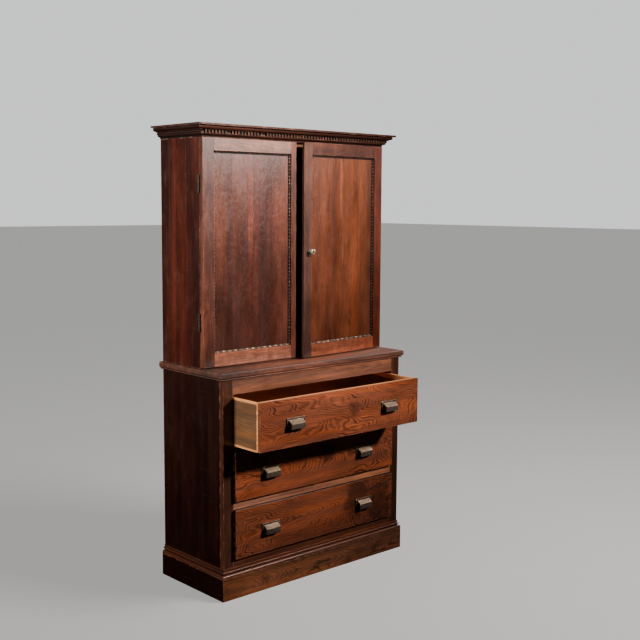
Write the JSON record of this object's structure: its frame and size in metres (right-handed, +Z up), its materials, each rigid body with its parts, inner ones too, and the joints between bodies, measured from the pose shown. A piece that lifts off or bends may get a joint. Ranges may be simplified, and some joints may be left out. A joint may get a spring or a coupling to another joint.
{
  "type": "cabinet on chest",
  "caption": "Free-standing cabinet on chest: a shelved cupboard with framed and panelled doors under a dentilled cornice, over a chest of dovetailed drawers with bin pulls on a moulded plinth",
  "frame": {"origin": "on the floor at mid width, in the plane of the chest's face frame", "axes": "+X to the viewer's right, +Y from front to back, +Z up"},
  "size_m": [1.096, 0.608, 1.901],
  "materials": {
    "case_wood": "aged reddish-brown varnish, satin",
    "door_wood": "aged reddish-brown varnish, satin",
    "panel_wood": "aged varnish with soft sheen",
    "drawer_wood": "strong cathedral figure under worn varnish",
    "moulding_wood": "aged varnish, darker in the quirks",
    "inner_wood": "raw secondary softwood, dusty",
    "pull_metal": "bronzed, rubbed on the edges",
    "hinge_metal": "dull, aged",
    "knob_brass": "worn pale brass"
  },
  "bodies": {
    "case": {"plinth_front": "case_wood", "plinth_sides": "case_wood", "base_sides": "case_wood", "base_top": "case_wood", "face_stiles": "case_wood", "face_rails": "case_wood", "upper_sides": "case_wood", "centre_post": "case_wood", "plinth_cap_front": "moulding_wood", "plinth_cap_sides": "moulding_wood", "bed_front": "moulding_wood", "bed_sides": "moulding_wood", "dentil_strip": "moulding_wood", "crown_front": "moulding_wood", "crown_sides": "moulding_wood", "cornice_cap": "moulding_wood", "plinth_back": "inner_wood", "base_bottom": "inner_wood", "base_back": "inner_wood", "drawer_runners": "inner_wood", "drawer_guides": "inner_wood", "drawer_stops": "inner_wood", "upper_bottom": "inner_wood", "upper_top": "inner_wood", "upper_back": "inner_wood", "shelves": "inner_wood", "cornice_frame": "inner_wood", "hinge_case_leaves": "hinge_metal", "hinge_pins": "hinge_metal"},
    "left_door": {"left_stiles": "door_wood", "left_rails": "door_wood", "left_panel": "panel_wood", "left_bead": "moulding_wood", "left_hinge_leaves": "hinge_metal", "bolt_plate": "hinge_metal"},
    "left_bolt": {"bolt": "hinge_metal"},
    "right_door": {"right_stiles": "door_wood", "right_rails": "door_wood", "right_panel": "panel_wood", "right_bead": "moulding_wood", "right_hinge_leaves": "hinge_metal", "knob_rose": "hinge_metal"},
    "latch": {"knob": "knob_brass", "knob_tongue": "hinge_metal"},
    "drawer1": {"drawer1_front": "drawer_wood", "drawer1_sides": "inner_wood", "drawer1_back": "inner_wood", "drawer1_bottom": "inner_wood", "drawer1_pulls": "pull_metal"},
    "drawer2": {"drawer2_front": "drawer_wood", "drawer2_sides": "inner_wood", "drawer2_back": "inner_wood", "drawer2_bottom": "inner_wood", "drawer2_pulls": "pull_metal"},
    "drawer3": {"drawer3_front": "drawer_wood", "drawer3_sides": "inner_wood", "drawer3_back": "inner_wood", "drawer3_bottom": "inner_wood", "drawer3_pulls": "pull_metal"}
  },
  "joints": [
    {"name": "left_door_hinge", "type": "hinge", "parent": "case", "child": "left_door", "pos_m": [-0.5043, 0.1486, 0.9305], "axis": [0, 0, -1], "range_deg": [0, 110]},
    {"name": "right_door_hinge", "type": "hinge", "parent": "case", "child": "right_door", "pos_m": [0.5043, 0.1486, 0.9305], "axis": [0, 0, 1], "range_deg": [-5, 105]},
    {"name": "left_bolt_slide", "type": "slide", "parent": "left_door", "child": "left_bolt", "axis": [0, 0, 1], "range_m": [0, 0.013]},
    {"name": "latch_turn", "type": "hinge", "parent": "right_door", "child": "latch", "pos_m": [0.02216, 0.08273, 1.3865], "axis": [-0.0872, 0.9962, 0], "range_deg": [0, 90]},
    {"name": "drawer1_slide", "type": "slide", "parent": "case", "child": "drawer1", "axis": [0, -1, 0], "range_m": [-0.167, 0.09]},
    {"name": "drawer2_slide", "type": "slide", "parent": "case", "child": "drawer2", "axis": [0, -1, 0], "range_m": [-0.014, 0.243]},
    {"name": "drawer3_slide", "type": "slide", "parent": "case", "child": "drawer3", "axis": [0, -1, 0], "range_m": [-0.014, 0.243]}
  ]
}
